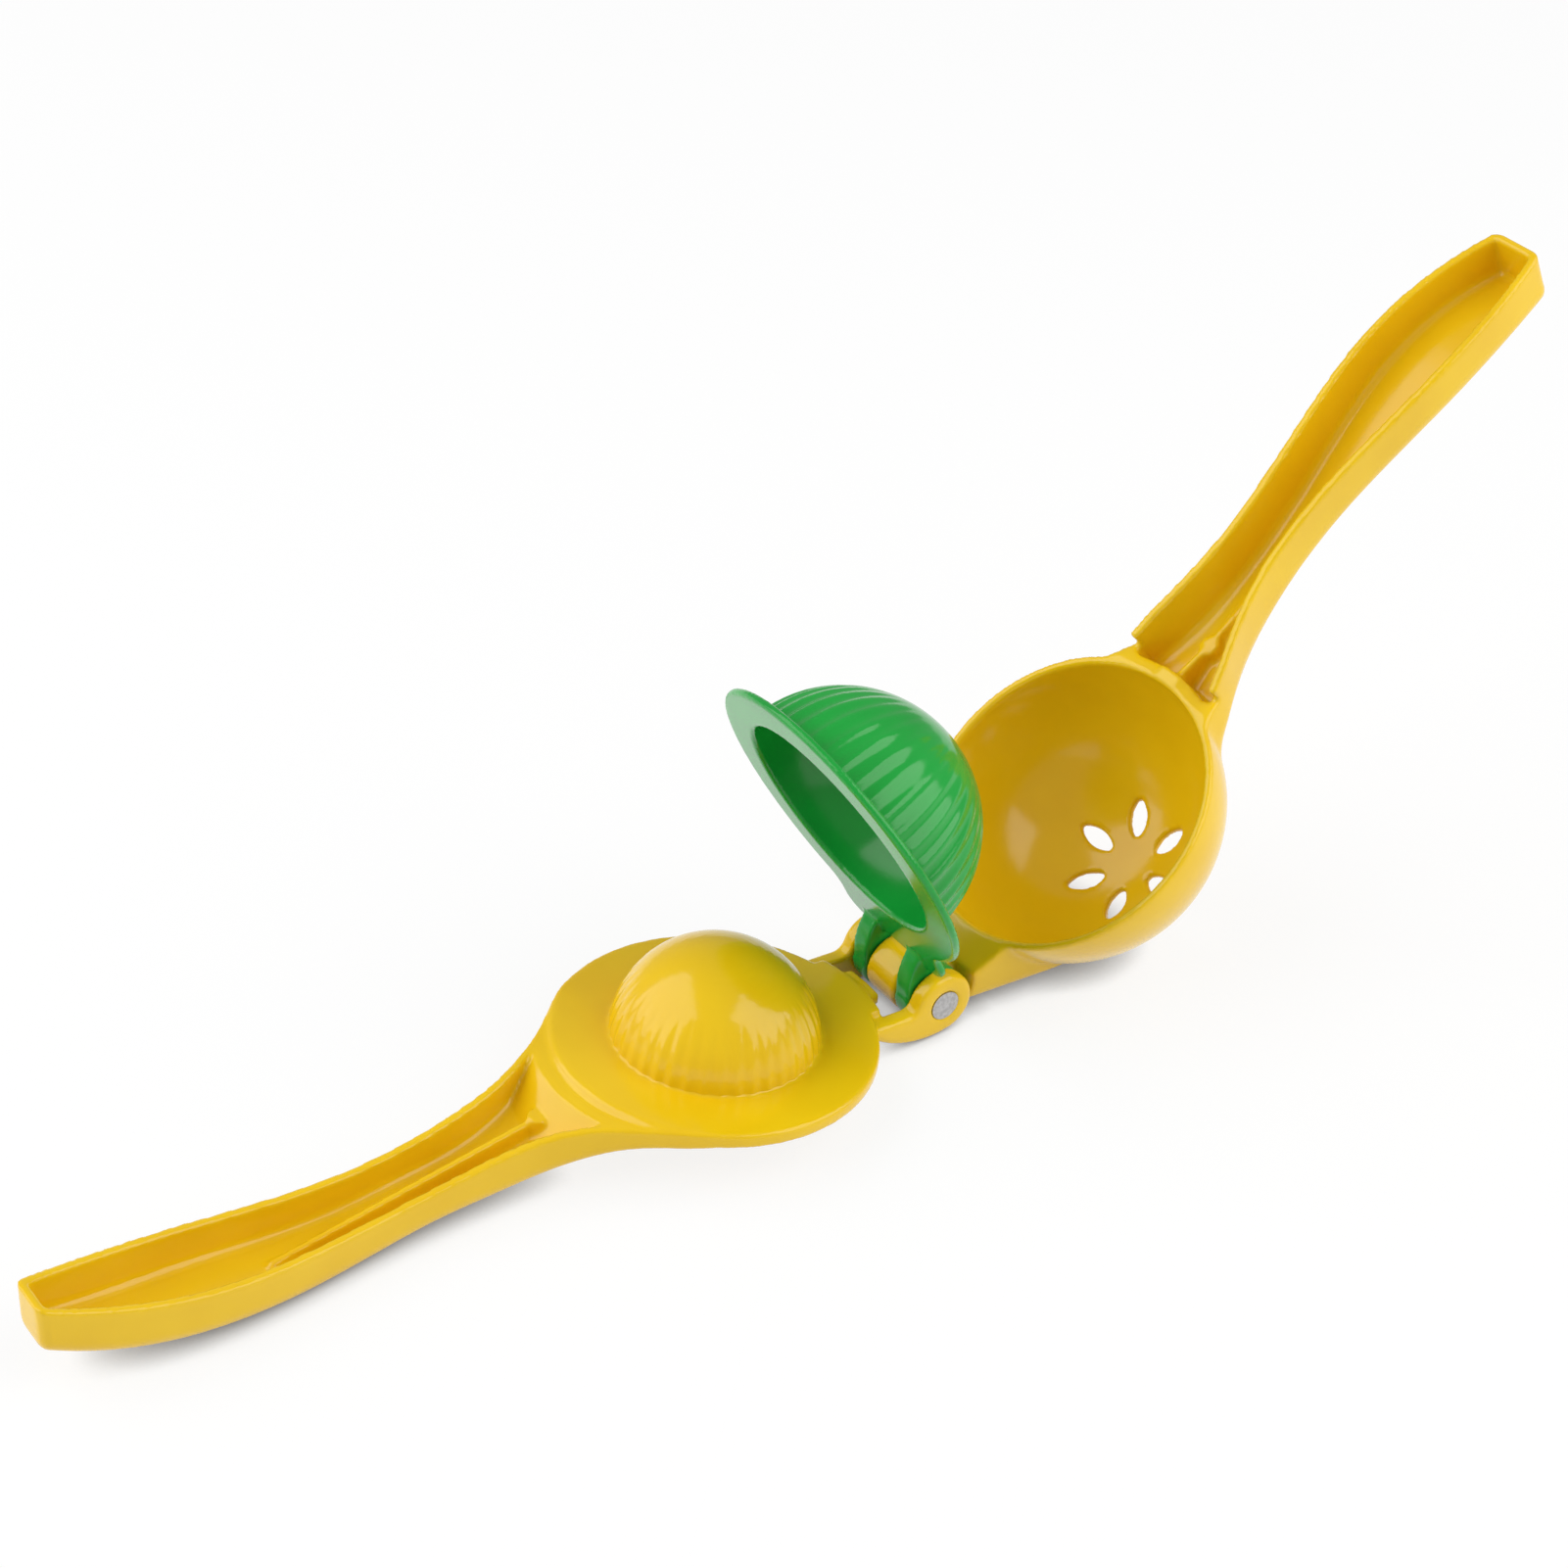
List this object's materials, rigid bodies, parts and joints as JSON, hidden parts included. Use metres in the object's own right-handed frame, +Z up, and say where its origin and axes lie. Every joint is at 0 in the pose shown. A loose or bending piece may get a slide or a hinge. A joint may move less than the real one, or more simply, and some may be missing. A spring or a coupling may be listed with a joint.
{
  "type": "hinged lemon squeezer",
  "caption": "Hinged hand press for citrus: a slotted bowl and a domed plate on long channel handles, with a swing-in fluted cup for smaller fruit, on one rivet.",
  "frame": {"origin": "on the ground, below the middle of the opened squeezer's bounding box", "axes": "+Z up; Y along the rivet; +X towards the raised handle of the bowl, -X along the press arm that lies on the ground"},
  "size_m": [0.362, 0.0712, 0.137],
  "materials": {
    "yellow_enamel": "gloss",
    "green_enamel": "gloss",
    "rivet_steel": "satin"
  },
  "bodies": {
    "press_arm": {"press_arm": "yellow_enamel", "hinge_pin": "rivet_steel"},
    "cup": {"cup": "green_enamel"},
    "bowl_arm": {"bowl_arm": "yellow_enamel"}
  },
  "joints": [
    {"name": "cup_hinge", "type": "hinge", "parent": "press_arm", "child": "cup", "pos_m": [0.02048, 0, 0.00742], "axis": [0, -1, 0], "range_deg": [0, 57.3]},
    {"name": "bowl_hinge", "type": "hinge", "parent": "cup", "child": "bowl_arm", "pos_m": [0.02048, 0, 0.00742], "axis": [0, -1, 0], "range_deg": [0, 75]}
  ]
}
